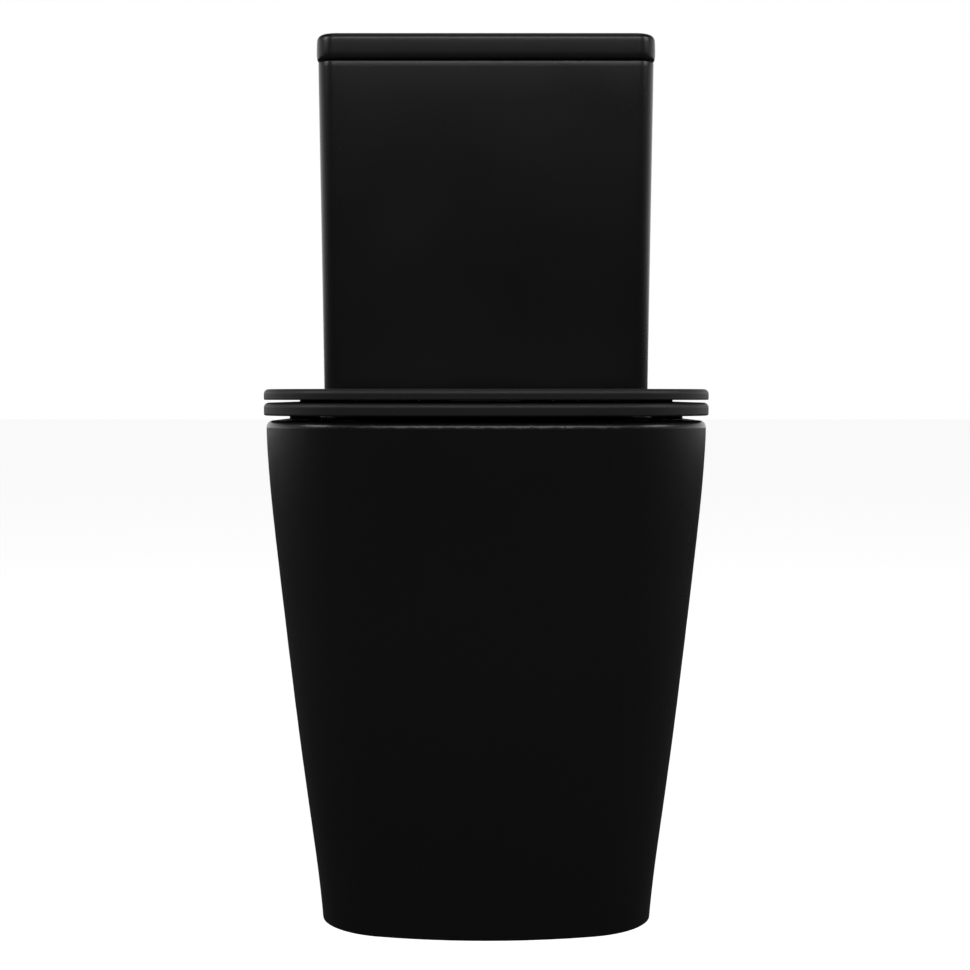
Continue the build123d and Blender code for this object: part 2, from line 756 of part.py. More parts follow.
with BuildPart() as fill_valve_body:
    with BuildSketch(Plane.XY.offset(tail_end)):
        with Locations(*tail_line):
            Circle(tail_radius)
    extrude(amount=tail_length)
    with BuildSketch(Plane.XY.offset(thread_top)):
        with Locations(*tail_line):
            Circle(tail_groove_radius)
    extrude(amount=tail_groove)
    with BuildSketch(Plane.XY.offset(thread_top + tail_groove)):
        with Locations(*tail_line):
            Circle(shank_radius)
    extrude(amount=floor_inside + fill_washer - thread_top - tail_groove)
    with BuildSketch(Plane.XY.offset(floor_inside + fill_washer)):
        with Locations(*tail_line):
            Circle(20)
    extrude(amount=5)
    with BuildSketch(Plane.XY.offset(floor_inside)):
        with Locations(*tail_line):
            Circle(riser_radius)
    extrude(amount=riser_top - floor_inside)
    with BuildSketch(Plane.XY.offset(riser_top)):
        with Locations(*tail_line):
            Circle(head_radius)
    extrude(amount=cap_bottom - riser_top)
    with BuildSketch(Plane.XY.offset(tail_end)):
        with Locations(*tail_line):
            Circle(6)
    extrude(amount=riser_top - tail_end, mode=Mode.SUBTRACT)
    # the outlet low on the riser
    with BuildSketch(Plane.XZ.offset(-fill_y)):
        with Locations((fill_x, floor_inside + 22)):
            SlotOverall(10, 7)
    extrude(amount=20, mode=Mode.SUBTRACT)
fill_valve_body.part.label = "fill_valve_body"
export_step(fill_valve_body.part, "parts/fill_valve_body.step")

with BuildPart() as fill_valve_washer:
    with BuildSketch(Plane.XY.offset(floor_inside)):
        with Locations(*tail_line):
            Circle(19)
            Circle(shank_radius + slip, mode=Mode.SUBTRACT)
    extrude(amount=fill_washer)
fill_valve_washer.part.label = "fill_valve_washer"
export_step(fill_valve_washer.part, "parts/fill_valve_washer.step")

with BuildPart() as fill_valve_nut:
    with BuildSketch(Plane.XY.offset(cistern_bottom - fill_nut_height)):
        with Locations(*tail_line):
            RegularPolygon(17, 6)
            Circle(shank_radius + slip, mode=Mode.SUBTRACT)
    extrude(amount=fill_nut_height)
fill_valve_nut.part.label = "fill_valve_nut"
export_step(fill_valve_nut.part, "parts/fill_valve_nut.step")

with BuildPart() as fill_valve_cap:
    with BuildSketch(Plane.XY.offset(cap_bottom)):
        with Locations(*tail_line):
            Circle(head_radius + 1.5)
    extrude(amount=cap_top - cap_bottom)
    with BuildSketch(Plane.XZ.offset(-fill_y - 7.5)):
        with Locations((arm_pivot_x, (cap_top + arm_pivot_z + 3) / 2 - 3)):
            Rectangle(7, arm_pivot_z + 3 - cap_top + 6)
        with Locations((arm_pivot_x, arm_pivot_z)):
            Circle(pin_radius + slip, mode=Mode.SUBTRACT)
    extrude(amount=15)
    with BuildSketch(Plane.XY.offset(cap_top)):
        with Locations((arm_pivot_x, fill_y)):
            Rectangle(8, 9)
    extrude(amount=20, mode=Mode.SUBTRACT)
fill_valve_cap.part.label = "fill_valve_cap"
export_step(fill_valve_cap.part, "parts/fill_valve_cap.step")

with BuildPart() as float_arm_pin:
    with BuildSketch(Plane.XZ.offset(-fill_y - 7.5)):
        with Locations((arm_pivot_x, arm_pivot_z)):
            Circle(pin_radius)
    extrude(amount=15)
float_arm_pin.part.label = "float_arm_pin"
export_step(float_arm_pin.part, "parts/float_arm_pin.step")

with BuildPart() as float_arm:
    with BuildSketch(Plane.XZ.offset(-fill_y - 4)):
        with Locations(Location((arm_pivot_x, arm_pivot_z, 0), (0, 0, -arm_tilt))):
            with Locations((arm_length / 2, 0)):
                SlotOverall(arm_length + 6, 2 * arm_half)
            Circle(3.2)
        with Locations((arm_pivot_x, arm_pivot_z)):
            Circle(pin_radius + slip, mode=Mode.SUBTRACT)
    extrude(amount=8)
float_arm.part.label = "float_arm"
export_step(float_arm.part, "parts/float_arm.step")

with BuildPart() as float_cup:
    with BuildSketch(Plane.XY.offset(cup_bottom)):
        with Locations(*tail_line):
            Circle(20.5)
    extrude(amount=cup_height)
    fillet(float_cup.edges().group_by(Axis.Z)[-1], 3)
    with BuildSketch(Plane.XY.offset(cup_bottom)):
        with Locations(*tail_line):
            Circle(18.5)
            Circle(riser_radius + 2.5, mode=Mode.SUBTRACT)
    extrude(amount=cup_height - 3, mode=Mode.SUBTRACT)
    with BuildSketch(Plane.XY.offset(cup_bottom + cup_height - 12)):
        with Locations((fill_x + 25, fill_y)):
            Rectangle(16, 10)
    extrude(amount=8)
    with BuildSketch(Plane.XY.offset(cup_bottom)):
        with Locations(*tail_line):
            Circle(riser_radius + slip)
        with Locations((link_x, fill_y)):
            Circle(1.5 + slip)
    extrude(amount=cup_height, mode=Mode.SUBTRACT)
float_cup.part.label = "float_cup"
export_step(float_cup.part, "parts/float_cup.step")

with BuildPart() as float_link:
    with BuildSketch(Plane.XY.offset(cup_bottom + cup_height - 20)):
        with Locations((link_x, fill_y)):
            Circle(1.5)
    extrude(amount=link_z - cup_bottom - cup_height + 20 - 2)
    with BuildSketch(Plane.XY.offset(link_z - link_ball)):
        with Locations((link_x, fill_y)):
            Circle(link_ball)
    extrude(amount=2 * link_ball)
    fillet(float_link.edges().group_by(Axis.Z)[-1], link_ball - 0.2)
float_link.part.label = "float_link"
export_step(float_link.part, "parts/float_link.step")

# ---------------------------------------------------------------- seat, lid and hinges
knuckle_radius = 12
damper_radius = 8
hinge_pin_radius = 3
post_half = 11.5
seat_knuckle = (90, 125)  # from and to, each side of the middle
lid_knuckle = (35, 65)
opening_half_width = seat_half_width - 63
opening_nose = front + 62
opening_back = hinge_y - 70
bumper_gap = 0.3

with BuildPart() as seat_ring:
    with BuildSketch(Plane.XY.offset(seat_bottom)):
        rounded_front(seat_half_width, front, seat_rear, seat_corner, seat_bow, seat_back_corner)
    extrude(amount=seat_thickness)
    fillet(seat_ring.edges().group_by(Axis.Z)[-1], 4)
    fillet(seat_ring.edges().group_by(Axis.Z)[0], 1.5)
    with BuildSketch(Plane.XY.offset(seat_bottom)):
        rounded_front(opening_half_width, opening_nose, opening_back, 78, seat_bow, 60)
    extrude(amount=seat_thickness, mode=Mode.SUBTRACT)
    inner = seat_ring.faces().filter_by(Plane.XY).sort_by(Axis.Z)[-1].inner_wires()[0].edges()
    fillet(inner, 4)
    for low, high in (seat_knuckle, (-seat_knuckle[1], -seat_knuckle[0])):
        with BuildSketch(Plane.YZ.offset(low)):
            with Locations((hinge_y, hinge_z)):
                Circle(knuckle_radius)
            with Locations((hinge_y - 15, seat_bottom + seat_thickness / 2)):
                Rectangle(30, seat_thickness)
        extrude(amount=high - low)
    for low, high in ((seat_knuckle[0] - 1, seat_knuckle[1] - 3), (3 - seat_knuckle[1], 1 - seat_knuckle[0])):
        with BuildSketch(Plane.YZ.offset(low)):
            with Locations((hinge_y, hinge_z)):
                Circle(damper_radius + slip)
        extrude(amount=high - low, mode=Mode.SUBTRACT)
seat_ring.part.label = "seat_ring"
export_step(seat_ring.part, "parts/seat_ring.step")

with BuildPart() as seat_lid:
    with BuildSketch(Plane.XY.offset(lid_bottom)):
        rounded_front(seat_half_width, front, seat_rear, seat_corner, seat_bow, seat_back_corner)
    extrude(amount=lid_thickness)
    fillet(seat_lid.edges().group_by(Axis.Z)[-1], 4)
    fillet(seat_lid.edges().group_by(Axis.Z)[0], 1)
    for low, high in (lid_knuckle, (-lid_knuckle[1], -lid_knuckle[0])):
        with BuildSketch(Plane.YZ.offset(low)):
            with Locations((hinge_y, hinge_z)):
                Circle(knuckle_radius)
            with Locations((hinge_y - 15, lid_bottom + 4.5)):
                Rectangle(30, 9)
        extrude(amount=high - low)
    for low, high in ((lid_knuckle[0] + 3, lid_knuckle[1] + 1), (-lid_knuckle[1] - 1, -lid_knuckle[0] - 3)):
        with BuildSketch(Plane.YZ.offset(low)):
            with Locations((hinge_y, hinge_z)):
                Circle(damper_radius + slip)
        extrude(amount=high - low, mode=Mode.SUBTRACT)
seat_lid.part.label = "seat_lid"
export_step(seat_lid.part, "parts/seat_lid.step")

with BuildPart() as seat_bumpers:
    with BuildSketch(Plane.XY.offset(rim_height + bumper_gap)):
        for x in (29 - seat_half_width, seat_half_width - 29):
            for y in (front + 150, hinge_y - 80):
                with Locations((x, y)):
                    SlotOverall(26, 12)
    extrude(amount=seat_gap - bumper_gap)
seat_bumpers.part.label = "seat_bumpers"
export_step(seat_bumpers.part, "parts/seat_bumpers.step")

with BuildPart() as lid_bumpers:
    with BuildSketch(Plane.XY.offset(seat_top + bumper_gap)):
        for x in (42 - seat_half_width, seat_half_width - 42):
            for y in (front + 115, hinge_y - 60):
                with Locations((x, y)):
                    SlotOverall(28, 9)
    extrude(amount=lid_gap - bumper_gap)
lid_bumpers.part.label = "lid_bumpers"
export_step(lid_bumpers.part, "parts/lid_bumpers.step")

hinge_line = [(-hinge_x, hinge_y), (hinge_x, hinge_y)]
hinge_pad = 1.5
with BuildPart() as hinge_posts:
    with BuildSketch(Plane.XY.offset(rim_height + hinge_pad)):
        with Locations(*hinge_line):
            Rectangle(2 * post_half, 2 * knuckle_radius)
    extrude(amount=hinge_z - rim_height - hinge_pad)
    for side in (-1, 1):
        with BuildSketch(Plane.YZ.offset(side * hinge_x - post_half)):
            with Locations((hinge_y, hinge_z)):
                Circle(knuckle_radius)
        extrude(amount=2 * post_half)
    with BuildSketch(Plane.YZ.offset(-hinge_x - post_half)):
        with Locations((hinge_y, hinge_z)):
            Circle(hinge_pin_radius + slip)
    extrude(amount=2 * (hinge_x + post_half), mode=Mode.SUBTRACT)
hinge_posts.part.label = "hinge_posts"
export_step(hinge_posts.part, "parts/hinge_posts.step")

with BuildPart() as hinge_pads:
    with BuildSketch(Plane.XY.offset(rim_height)):
        with Locations(*hinge_line):
            Rectangle(2 * post_half, 2 * knuckle_radius)
            Circle(3.2, mode=Mode.SUBTRACT)
    extrude(amount=hinge_pad)
hinge_pads.part.label = "hinge_pads"
export_step(hinge_pads.part, "parts/hinge_pads.step")

pin_reach = 38
with BuildPart() as hinge_pins:
    for side in (-1, 1):
        with BuildSketch(Plane.YZ.offset(side * hinge_x - pin_reach)):
            with Locations((hinge_y, hinge_z)):
                Circle(hinge_pin_radius)
        extrude(amount=2 * pin_reach)
hinge_pins.part.label = "hinge_pins"
export_step(hinge_pins.part, "parts/hinge_pins.step")

with BuildPart() as seat_dampers:
    for low, high in ((seat_knuckle[0] + 2, seat_knuckle[1] - 3.1), (3.1 - seat_knuckle[1], -seat_knuckle[0] - 2)):
        with BuildSketch(Plane.YZ.offset(low)):
            with Locations((hinge_y, hinge_z)):
                Circle(damper_radius)
                Circle(hinge_pin_radius + slip, mode=Mode.SUBTRACT)
        extrude(amount=high - low)
seat_dampers.part.label = "seat_dampers"
export_step(seat_dampers.part, "parts/seat_dampers.step")

with BuildPart() as lid_dampers:
    for low, high in ((lid_knuckle[0] + 3.1, lid_knuckle[1] - 2), (2 - lid_knuckle[1], -lid_knuckle[0] - 3.1)):
        with BuildSketch(Plane.YZ.offset(low)):
            with Locations((hinge_y, hinge_z)):
                Circle(damper_radius)
                Circle(hinge_pin_radius + slip, mode=Mode.SUBTRACT)
        extrude(amount=high - low)
lid_dampers.part.label = "lid_dampers"
export_step(lid_dampers.part, "parts/lid_dampers.step")

# Studs hang from the posts through the deck and take a rubber cone and a wing nut below.
stud_end = deck_underside - rubber_washer - wing_nut_height - 10
with BuildPart() as hinge_studs:
    with BuildSketch(Plane.XY.offset(stud_end)):
        with Locations(*hinge_line):
            Circle(stud_radius)
    extrude(amount=rim_height + hinge_pad - stud_end)
hinge_studs.part.label = "hinge_studs"
export_step(hinge_studs.part, "parts/hinge_studs.step")

with BuildPart() as hinge_washers:
    with BuildSketch(Plane.XY.offset(deck_underside - rubber_washer)):
        with Locations(*hinge_line):
            Circle(13)
            Circle(stud_radius + slip, mode=Mode.SUBTRACT)
    extrude(amount=rubber_washer)
hinge_washers.part.label = "hinge_washers"
export_step(hinge_washers.part, "parts/hinge_washers.step")

with BuildPart() as hinge_wing_nuts:
    with BuildSketch(Plane.XY.offset(deck_underside - rubber_washer - wing_nut_height)):
        wing_nut_sketch(hinge_line, 8, stud_radius + slip, 30, 5)
    extrude(amount=wing_nut_height)
hinge_wing_nuts.part.label = "hinge_wing_nuts"
export_step(hinge_wing_nuts.part, "parts/hinge_wing_nuts.step")

# ---------------------------------------------------------------- floor fixings
bracket_face = foot_half_width - pan_wall - contact
bracket_height = 62
screw_radius = 3

with BuildPart() as floor_brackets:
    for side in (-1, 1):
        middle = side * (bracket_face - 16)
        with BuildSketch(Plane.XY):
            with Locations((middle, fixing_y)):
                Rectangle(32, 44)
        extrude(amount=bracket_thickness)
        with BuildSketch(Plane.XY):
            with Locations((side * (bracket_face - bracket_thickness / 2), fixing_y)):
                Rectangle(bracket_thickness, 44)
        extrude(amount=bracket_height)
        with BuildSketch(Plane.XY):
            with Locations((side * bracket_x, fixing_y)):
                Circle(bracket_hole_radius)
        extrude(amount=bracket_thickness, mode=Mode.SUBTRACT)
    with BuildSketch(Plane.YZ.offset(-bracket_face)):
        with Locations((fixing_y, fixing_z)):
            Circle(screw_radius + slip)
    extrude(amount=2 * bracket_face, mode=Mode.SUBTRACT)
floor_brackets.part.label = "floor_brackets"
export_step(floor_brackets.part, "parts/floor_brackets.step")

screw_end = bracket_face - bracket_thickness - 8
screw_head = 2.6
with BuildPart() as side_screws:
    for side in (-1, 1):
        with BuildSketch(Plane.YZ.offset(side * side_recess_x)):
            with Locations((fixing_y, fixing_z)):
                Circle(6)
        extrude(amount=side * screw_head)
        with BuildSketch(Plane.YZ.offset(side * screw_end)):
            with Locations((fixing_y, fixing_z)):
                Circle(screw_radius)
        extrude(amount=side * (side_recess_x - screw_end))
side_screws.part.label = "side_screws"
export_step(side_screws.part, "parts/side_screws.step")

with BuildPart() as side_caps:
    for side in (-1, 1):
        with BuildSketch(Plane.YZ.offset(side * side_recess_x)):
            with Locations((fixing_y, fixing_z)):
                Circle(side_recess_radius - 0.5)
        extrude(amount=side * 4.6)
        with BuildSketch(Plane.YZ.offset(side * side_recess_x)):
            with Locations((fixing_y, fixing_z)):
                Circle(6.2)
        extrude(amount=side * 2.8, mode=Mode.SUBTRACT)
side_caps.part.label = "side_caps"
export_step(side_caps.part, "parts/side_caps.step")
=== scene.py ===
"""Looks of a matte black close coupled toilet: glazed pan and cistern, moulded seat and lid, and fittings."""

import math

import bmesh
import bpy
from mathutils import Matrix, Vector


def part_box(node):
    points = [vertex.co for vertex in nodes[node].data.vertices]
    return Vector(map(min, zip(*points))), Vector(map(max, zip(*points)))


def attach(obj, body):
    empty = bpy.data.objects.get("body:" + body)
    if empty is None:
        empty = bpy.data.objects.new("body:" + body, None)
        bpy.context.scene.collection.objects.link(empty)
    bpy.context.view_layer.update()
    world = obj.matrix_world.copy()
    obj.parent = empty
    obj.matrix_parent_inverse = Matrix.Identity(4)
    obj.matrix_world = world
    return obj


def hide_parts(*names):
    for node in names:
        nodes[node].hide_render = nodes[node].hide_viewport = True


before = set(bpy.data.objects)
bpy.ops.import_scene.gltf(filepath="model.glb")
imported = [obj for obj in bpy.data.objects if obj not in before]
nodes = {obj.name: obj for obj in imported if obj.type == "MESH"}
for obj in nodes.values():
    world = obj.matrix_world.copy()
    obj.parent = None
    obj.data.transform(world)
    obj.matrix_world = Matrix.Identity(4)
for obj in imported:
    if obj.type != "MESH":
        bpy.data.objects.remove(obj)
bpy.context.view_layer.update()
bpy.ops.object.select_all(action="DESELECT")

# ---------------------------------------------------------------- camera
# Stands level with the seat, in front of the object, and looks slightly down.
# The long lens keeps the cistern and the pan nearly square to each other.
camera_distance = 1.687
camera_height = 0.426
camera_pitch = math.radians(2.83)
camera_lens = 67.58
camera_data = bpy.data.cameras.new("front_camera")
camera_data.lens = camera_lens
camera_data.sensor_width = 36
camera_data.clip_start = 0.05
camera = bpy.data.objects.new("front_camera", camera_data)
camera.location = (-0.001, -camera_distance, camera_height)
camera.rotation_euler = (math.pi / 2 - camera_pitch, 0, 0)
bpy.context.scene.collection.objects.link(camera)
bpy.context.scene.camera = camera
bpy.context.scene.view_settings.view_transform = "Standard"

# ---------------------------------------------------------------- studio
# A pale floor, a white surround that is brightest behind the object and dark overhead,
# and soft lights above, in front and at both sides. The camera sees the surround as plain white.
world = bpy.data.worlds.new("studio")
bpy.context.scene.world = world
world.use_nodes = True
tree = world.node_tree
tree.nodes.clear()
direction = tree.nodes.new("ShaderNodeTexCoord")
parts = tree.nodes.new("ShaderNodeSeparateXYZ")
tree.links.new(direction.outputs["Generated"], parts.inputs[0])


def ramp(tree, source, start, end, low, high, kind="LINEAR"):
    """Maps a node's output from one range onto another."""
    node = tree.nodes.new("ShaderNodeMapRange")
    node.interpolation_type = kind
    for label, value in (("From Min", start), ("From Max", end), ("To Min", low), ("To Max", high)):
        node.inputs[label].default_value = value
    tree.links.new(source, node.inputs["Value"])
    return node


behind = ramp(tree, parts.outputs["Y"], -0.6, 0.75, 0.05, 1.3, "SMOOTHSTEP")
overhead = ramp(tree, parts.outputs["Z"], 0.05, 0.6, 1.0, 0.06, "SMOOTHSTEP")
level = tree.nodes.new("ShaderNodeMath")
level.operation = "MULTIPLY"
tree.links.new(behind.outputs["Result"], level.inputs[0])
tree.links.new(overhead.outputs["Result"], level.inputs[1])
surround = tree.nodes.new("ShaderNodeBackground")
tree.links.new(level.outputs[0], surround.inputs["Strength"])
paper = tree.nodes.new("ShaderNodeBackground")
paper.inputs["Color"].default_value = (1, 1, 1, 1)
paper.inputs["Strength"].default_value = 1.0
surround.inputs["Color"].default_value = (1, 1, 1, 1)
seen = tree.nodes.new("ShaderNodeLightPath")
choose = tree.nodes.new("ShaderNodeMixShader")
tree.links.new(seen.outputs["Is Camera Ray"], choose.inputs["Fac"])
tree.links.new(surround.outputs[0], choose.inputs[1])
tree.links.new(paper.outputs[0], choose.inputs[2])
world_out = tree.nodes.new("ShaderNodeOutputWorld")
tree.links.new(choose.outputs[0], world_out.inputs["Surface"])

for name, place, turn, size, power in (
    ("top_softbox", (0, -0.1, 2.6), (0, 0, 0), (1.6, 1.2), 2.5),
    ("front_softbox", (0.1, -2.6, 2.5), (math.radians(54), 0, 0.04), (3.6, 0.8), 39),
    ("left_softbox", (-2.5, -0.9, 2.2), (0, math.radians(-52), 0), (1.0, 1.4), 21),
    ("right_softbox", (2.5, -0.9, 2.2), (0, math.radians(52), 0), (1.0, 1.4), 21),
):
    light_data = bpy.data.lights.new(name, "AREA")
    light_data.shape = "RECTANGLE"
    light_data.size, light_data.size_y = size
    light_data.energy = power
    light = bpy.data.objects.new(name, light_data)
    light.location = place
    light.rotation_euler = turn
    light.visible_camera = False
    bpy.context.scene.collection.objects.link(light)

floor_size = 60
floor_chalk = 0.45
floor_glow = 0.9
floor_shade = 0.08  # what the object and its reflections see
bpy.ops.mesh.primitive_plane_add(size=floor_size, location=(0, 0, 0))
floor = bpy.context.object
floor.name = "floor"
floor_paint = bpy.data.materials.new("floor_paint")
floor_paint.use_nodes = True
tree = floor_paint.node_tree
tree.nodes.clear()
chalk = tree.nodes.new("ShaderNodeBsdfDiffuse")
chalk.inputs["Color"].default_value = (floor_chalk, floor_chalk, floor_chalk, 1)
glow = tree.nodes.new("ShaderNodeEmission")
glow.inputs["Strength"].default_value = floor_glow
lit = tree.nodes.new("ShaderNodeAddShader")
tree.links.new(chalk.outputs[0], lit.inputs[0])
tree.links.new(glow.outputs[0], lit.inputs[1])
shade = tree.nodes.new("ShaderNodeBsdfDiffuse")
shade.inputs["Color"].default_value = (floor_shade, floor_shade, floor_shade, 1)
seen = tree.nodes.new("ShaderNodeLightPath")
choose = tree.nodes.new("ShaderNodeMixShader")
tree.links.new(seen.outputs["Is Camera Ray"], choose.inputs["Fac"])
tree.links.new(shade.outputs[0], choose.inputs[1])
tree.links.new(lit.outputs[0], choose.inputs[2])
floor_out = tree.nodes.new("ShaderNodeOutputMaterial")
tree.links.new(choose.outputs[0], floor_out.inputs["Surface"])
floor.data.materials.append(floor_paint)
bpy.ops.object.select_all(action="DESELECT")

# ---------------------------------------------------------------- pan, cistern and cover
# Vitreous china, cast in plaster moulds and fired with a matte black glaze.
# The glaze is slightly uneven: its sheen drifts over the surface and a fine grain breaks up highlights.


def surface(name, colour, rough, rough_spread, grain_scale, grain_depth, swell_depth=0.0, metal=0.0):
    """A moulded, fired or machined finish: cloudy sheen, fine grain and, if asked for, a slow swell."""
    material = bpy.data.materials.new(name)
    material.use_nodes = True
    tree = material.node_tree
    shader = tree.nodes["Principled BSDF"]
    shader.inputs["Metallic"].default_value = metal
    place = tree.nodes.new("ShaderNodeTexCoord")
    cloud = tree.nodes.new("ShaderNodeTexNoise")
    cloud.inputs["Scale"].default_value = 7
    cloud.inputs["Detail"].default_value = 4
    tree.links.new(place.outputs["Object"], cloud.inputs["Vector"])
    sheen = ramp(tree, cloud.outputs["Fac"], 0.3, 0.7, rough - rough_spread, rough + rough_spread)
    tree.links.new(sheen.outputs["Result"], shader.inputs["Roughness"])
    tint = tree.nodes.new("ShaderNodeMix")
    tint.data_type = "RGBA"
    tint.inputs["A"].default_value = (*[0.85 * c for c in colour], 1)
    tint.inputs["B"].default_value = (*[min(1.0, 1.15 * c) for c in colour], 1)
    speck = tree.nodes.new("ShaderNodeTexNoise")
    speck.inputs["Scale"].default_value = grain_scale * 0.6
    speck.inputs["Detail"].default_value = 2
    tree.links.new(place.outputs["Object"], speck.inputs["Vector"])
    tree.links.new(speck.outputs["Fac"], tint.inputs["Factor"])
    tree.links.new(tint.outputs["Result"], shader.inputs["Base Color"])
    grain = tree.nodes.new("ShaderNodeTexNoise")
    grain.inputs["Scale"].default_value = grain_scale
    grain.inputs["Detail"].default_value = 3
    tree.links.new(place.outputs["Object"], grain.inputs["Vector"])
    fine = tree.nodes.new("ShaderNodeBump")
    fine.inputs["Strength"].default_value = 0.5
    fine.inputs["Distance"].default_value = grain_depth
    tree.links.new(grain.outputs["Fac"], fine.inputs["Height"])
    if swell_depth:
        swell = tree.nodes.new("ShaderNodeTexNoise")
        swell.inputs["Scale"].default_value = 5
        swell.inputs["Detail"].default_value = 1
        tree.links.new(place.outputs["Object"], swell.inputs["Vector"])
        slow = tree.nodes.new("ShaderNodeBump")
        slow.inputs["Strength"].default_value = 1.0
        slow.inputs["Distance"].default_value = swell_depth
        tree.links.new(swell.outputs["Fac"], slow.inputs["Height"])
        tree.links.new(slow.outputs["Normal"], fine.inputs["Normal"])
    tree.links.new(fine.outputs["Normal"], shader.inputs["Normal"])
    return material


def finish_node(name, material):
    """Gives a CAD node its finish."""
    for node_slot in nodes[name].material_slots:
        node_slot.link = "OBJECT"
        node_slot.material = material


matte_glaze = surface("matte_black_glaze", (0.0085, 0.0085, 0.009), 0.28, 0.03, 900, 0.0001, 0.002)
finish_node("bowl", matte_glaze)

# ---------------------------------------------------------------- cistern
# Slip-cast in one piece, open at the top, with thick walls and a slight taper down to its foot.
# The front rolls back a little under the cover, and the mouth's edge is sponged round before firing.
tank_low, tank_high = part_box("tank")
tank_corner = 0.018
tank_wall = 0.009
tank_foot_round = 0.008
tank_mouth_round = 0.0025
tank_taper = 0.0048  # each side stands in by this much at the foot
tank_lean = 0.003  # and so does the front
tank_roll_height = 0.046
tank_roll = 0.0011


def block(name, low, high):
    """A box between two corners, open for editing with nothing selected."""
    bpy.ops.mesh.primitive_cube_add(
        size=1,
        location=[(a + b) / 2 for a, b in zip(low, high)],
        scale=[b - a for a, b in zip(low, high)],
    )
    piece = bpy.context.object
    piece.name = name
    bpy.ops.object.transform_apply(location=True, rotation=True, scale=True)
    bpy.ops.object.mode_set(mode="EDIT")
    bpy.ops.mesh.select_all(action="DESELECT")
    return piece


def pick(piece, kind, test):
    """Selects the vertices, edges or faces whose middle passes a test, and nothing else."""
    bpy.ops.mesh.select_mode(type=kind)
    bpy.ops.mesh.select_all(action="DESELECT")
    mesh = bmesh.from_edit_mesh(piece.data)
    for item in {"VERT": mesh.verts, "EDGE": mesh.edges, "FACE": mesh.faces}[kind]:
        corners = [item] if kind == "VERT" else item.verts
        middle = sum((corner.co for corner in corners), Vector()) / len(corners)
        item.select = bool(test(item, middle))
    mesh.select_flush_mode()
    bmesh.update_edit_mesh(piece.data)


def upright(edge, middle):
    return abs(edge.verts[0].co.z - edge.verts[1].co.z) > 0.5 * edge.calc_length()


def folded(edge):
    """Whether the faces on the edge's sides lean differently."""
    return len({round(face.normal.z, 1) for face in edge.link_faces}) > 1


def slice_at(piece, height):
    """Cuts the whole piece level, leaving a new ring of edges."""
    bpy.ops.mesh.select_all(action="SELECT")
    bpy.ops.mesh.bisect(plane_co=(0, 0, height), plane_no=(0, 0, 1))


def close_piece(piece, material, body, replaced, angle=35):
    """Leaves edit mode, smooths the shading, and gives the piece its finish and its place in the assembly."""
    bpy.ops.object.mode_set(mode="OBJECT")
    bpy.ops.object.shade_smooth_by_angle(angle=math.radians(angle))
    piece.data.materials.clear()
    piece.data.materials.append(material)
    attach(piece, body)
    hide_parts(*replaced)
    bpy.ops.object.select_all(action="DESELECT")


def apply_modifier(piece, kind, **settings):
    modifier = piece.modifiers.new(kind.lower(), kind)
    for key, value in settings.items():
        setattr(modifier, key, value)
    bpy.ops.object.modifier_apply(modifier=modifier.name)


tank_top = tank_high[2]
tank_height = tank_top - tank_low[2]
tank_depth = tank_high[1] - tank_low[1]
tank = block("cistern_body", tank_low, tank_high)
pick(tank, "EDGE", upright)
bpy.ops.mesh.bevel(offset=tank_corner, offset_type="OFFSET", segments=10, affect="EDGES")
pick(tank, "FACE", lambda face, middle: middle.z > tank_top - 0.001)
bpy.ops.mesh.delete(type="FACE")
roll_steps = [tank_top - tank_roll_height * (1 - step / 6) for step in range(6)]
for height in roll_steps:
    slice_at(tank, height)
for height in [tank_low[2]] + roll_steps + [tank_top]:
    share = (tank_top - height) / tank_height
    roll = max(0.0, 1 - (tank_top - height) / tank_roll_height)
    back = tank_lean * share + tank_roll * roll**2
    pick(tank, "VERT", lambda vert, middle: abs(middle.z - height) < 1e-4)
    bpy.ops.transform.resize(
        value=(1 - 2 * tank_taper * share / (tank_high[0] - tank_low[0]), 1 - back / tank_depth, 1),
        center_override=(0, tank_high[1], height),
    )
pick(tank, "EDGE", lambda edge, middle: all(v.co.z < tank_low[2] + 1e-4 for v in edge.verts))
bpy.ops.mesh.bevel(offset=tank_foot_round, offset_type="OFFSET", segments=6, affect="EDGES")
bpy.ops.mesh.select_all(action="SELECT")
bpy.ops.mesh.normals_make_consistent(inside=False)
bpy.ops.object.mode_set(mode="OBJECT")
apply_modifier(tank, "SOLIDIFY", thickness=tank_wall, offset=-1)
bpy.ops.object.mode_set(mode="EDIT")


def mouth(edge, middle):
    """The sharp edges around the cistern's open top."""
    return middle.z > tank_top - 1e-3 and not upright(edge, middle) and folded(edge)


pick(tank, "EDGE", mouth)
bpy.ops.mesh.bevel(offset=tank_mouth_round, offset_type="OFFSET", segments=4, affect="EDGES")
close_piece(tank, matte_glaze, "pan", ["tank"])

# ---------------------------------------------------------------- cistern cover
# A hollow slab of the same china, laid over the cistern with a lip that keeps it in place.
# Its edge is full and round on top and tucks in below, and a round hole takes the push button.
cover_low, cover_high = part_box("tank_lid")
cover_width = cover_high[0] - cover_low[0]
cover_depth = cover_high[1] - cover_low[1]
cover_corner = 0.02
cover_round = 0.006
cover_foot_round = 0.002
cover_tuck = 0.001
cover_crown = 0.0007  # the top stands in by this much from the widest line
cover_widest = tank_top + 0.006
cover_lip_inset = 0.0125
cover_lip_depth = tank_top - cover_low[2]
cover_lip_wall = 0.006
cover_slab = 0.009
foot_band_sides = 0.022  # the outer edge of the foot lies within this much of the sides
foot_band_ends = 0.006  # and within this much of the front and back
housing_low, housing_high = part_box("button_housing")
button_hole = (housing_high[0] - housing_low[0]) / 2 + 0.0005

